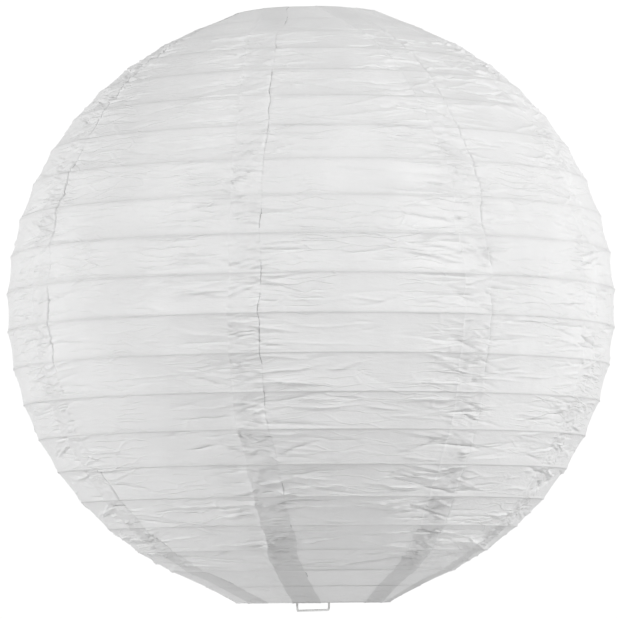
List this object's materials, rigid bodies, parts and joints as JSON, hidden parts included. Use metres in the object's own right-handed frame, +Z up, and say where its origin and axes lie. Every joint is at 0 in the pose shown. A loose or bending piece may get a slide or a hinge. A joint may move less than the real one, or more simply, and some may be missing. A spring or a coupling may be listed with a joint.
{
  "type": "paper lantern",
  "caption": "Round accordion paper lampshade with level wire ribs, glued paper gores, open ends and a removable wire expander frame that hangs from a lampholder.",
  "frame": {"origin": "centre of the lampholder hole, halfway through the pressed ring", "axes": "+Z up the hanging axis, towards the cable; -Y is the front"},
  "size_m": [0.402, 0.402, 0.3946],
  "materials": {
    "paper": "matte",
    "coated_wire": "satin",
    "rib_wire": "satin",
    "pressed_steel": "satin"
  },
  "bodies": {
    "expander": {"lampholder_ring": "pressed_steel", "top_arm_front": "coated_wire", "top_arm_back": "coated_wire", "side_wire_front": "coated_wire", "side_wire_back": "coated_wire", "bottom_bar": "coated_wire", "top_ring": "coated_wire", "gore_1": "paper", "gore_2": "paper", "gore_3": "paper", "gore_4": "paper", "gore_5": "paper", "gore_6": "paper", "gore_7": "paper", "gore_8": "paper"},
    "bottom_hoop": {"bottom_ring": "coated_wire"},
    "hoop_01": {"rib_01": "rib_wire"},
    "hoop_02": {"rib_02": "rib_wire"},
    "hoop_03": {"rib_03": "rib_wire"},
    "hoop_04": {"rib_04": "rib_wire"},
    "hoop_05": {"rib_05": "rib_wire"},
    "hoop_06": {"rib_06": "rib_wire"},
    "hoop_07": {"rib_07": "rib_wire"},
    "hoop_08": {"rib_08": "rib_wire"},
    "hoop_09": {"rib_09": "rib_wire"},
    "hoop_10": {"rib_10": "rib_wire"},
    "hoop_11": {"rib_11": "rib_wire"},
    "hoop_12": {"rib_12": "rib_wire"},
    "hoop_13": {"rib_13": "rib_wire"},
    "hoop_14": {"rib_14": "rib_wire"},
    "hoop_15": {"rib_15": "rib_wire"},
    "hoop_16": {"rib_16": "rib_wire"},
    "hoop_17": {"rib_17": "rib_wire"},
    "hoop_18": {"rib_18": "rib_wire"},
    "hoop_19": {"rib_19": "rib_wire"},
    "hoop_20": {"rib_20": "rib_wire"}
  },
  "joints": [
    {"name": "collapse", "type": "slide", "parent": "expander", "child": "bottom_hoop", "axis": [0, 0, 1], "range_m": [0, 0.3548], "deforming": ["gore_1", "gore_2", "gore_3", "gore_4", "gore_5", "gore_6", "gore_7", "gore_8", "side_wire_front", "side_wire_back"]},
    {"name": "fold_01", "type": "slide", "parent": "expander", "child": "hoop_01", "axis": [0, 0, 1], "range_m": [0, 0.3455]},
    {"name": "fold_02", "type": "slide", "parent": "expander", "child": "hoop_02", "axis": [0, 0, 1], "range_m": [0, 0.3363]},
    {"name": "fold_03", "type": "slide", "parent": "expander", "child": "hoop_03", "axis": [0, 0, 1], "range_m": [0, 0.3245]},
    {"name": "fold_04", "type": "slide", "parent": "expander", "child": "hoop_04", "axis": [0, 0, 1], "range_m": [0, 0.3104]},
    {"name": "fold_05", "type": "slide", "parent": "expander", "child": "hoop_05", "axis": [0, 0, 1], "range_m": [0, 0.2942]},
    {"name": "fold_06", "type": "slide", "parent": "expander", "child": "hoop_06", "axis": [0, 0, 1], "range_m": [0, 0.2761]},
    {"name": "fold_07", "type": "slide", "parent": "expander", "child": "hoop_07", "axis": [0, 0, 1], "range_m": [0, 0.2565]},
    {"name": "fold_08", "type": "slide", "parent": "expander", "child": "hoop_08", "axis": [0, 0, 1], "range_m": [0, 0.2356]},
    {"name": "fold_09", "type": "slide", "parent": "expander", "child": "hoop_09", "axis": [0, 0, 1], "range_m": [0, 0.2138]},
    {"name": "fold_10", "type": "slide", "parent": "expander", "child": "hoop_10", "axis": [0, 0, 1], "range_m": [0, 0.1914]},
    {"name": "fold_11", "type": "slide", "parent": "expander", "child": "hoop_11", "axis": [0, 0, 1], "range_m": [0, 0.1687]},
    {"name": "fold_12", "type": "slide", "parent": "expander", "child": "hoop_12", "axis": [0, 0, 1], "range_m": [0, 0.1462]},
    {"name": "fold_13", "type": "slide", "parent": "expander", "child": "hoop_13", "axis": [0, 0, 1], "range_m": [0, 0.1242]},
    {"name": "fold_14", "type": "slide", "parent": "expander", "child": "hoop_14", "axis": [0, 0, 1], "range_m": [0, 0.1029]},
    {"name": "fold_15", "type": "slide", "parent": "expander", "child": "hoop_15", "axis": [0, 0, 1], "range_m": [0, 0.0829]},
    {"name": "fold_16", "type": "slide", "parent": "expander", "child": "hoop_16", "axis": [0, 0, 1], "range_m": [0, 0.0643]},
    {"name": "fold_17", "type": "slide", "parent": "expander", "child": "hoop_17", "axis": [0, 0, 1], "range_m": [0, 0.0475]},
    {"name": "fold_18", "type": "slide", "parent": "expander", "child": "hoop_18", "axis": [0, 0, 1], "range_m": [0, 0.0328]},
    {"name": "fold_19", "type": "slide", "parent": "expander", "child": "hoop_19", "axis": [0, 0, 1], "range_m": [0, 0.0202]},
    {"name": "fold_20", "type": "slide", "parent": "expander", "child": "hoop_20", "axis": [0, 0, 1], "range_m": [0, 0.0102]}
  ],
  "couplings": [
    {"joint": "fold_01", "follows": "collapse", "ratio": 0.9737},
    {"joint": "fold_02", "follows": "collapse", "ratio": 0.9476},
    {"joint": "fold_03", "follows": "collapse", "ratio": 0.9144},
    {"joint": "fold_04", "follows": "collapse", "ratio": 0.8747},
    {"joint": "fold_05", "follows": "collapse", "ratio": 0.829},
    {"joint": "fold_06", "follows": "collapse", "ratio": 0.7781},
    {"joint": "fold_07", "follows": "collapse", "ratio": 0.7228},
    {"joint": "fold_08", "follows": "collapse", "ratio": 0.6639},
    {"joint": "fold_09", "follows": "collapse", "ratio": 0.6024},
    {"joint": "fold_10", "follows": "collapse", "ratio": 0.5392},
    {"joint": "fold_11", "follows": "collapse", "ratio": 0.4754},
    {"joint": "fold_12", "follows": "collapse", "ratio": 0.4119},
    {"joint": "fold_13", "follows": "collapse", "ratio": 0.3498},
    {"joint": "fold_14", "follows": "collapse", "ratio": 0.29},
    {"joint": "fold_15", "follows": "collapse", "ratio": 0.2335},
    {"joint": "fold_16", "follows": "collapse", "ratio": 0.1812},
    {"joint": "fold_17", "follows": "collapse", "ratio": 0.1338},
    {"joint": "fold_18", "follows": "collapse", "ratio": 0.0922},
    {"joint": "fold_19", "follows": "collapse", "ratio": 0.0569},
    {"joint": "fold_20", "follows": "collapse", "ratio": 0.0287}
  ]
}
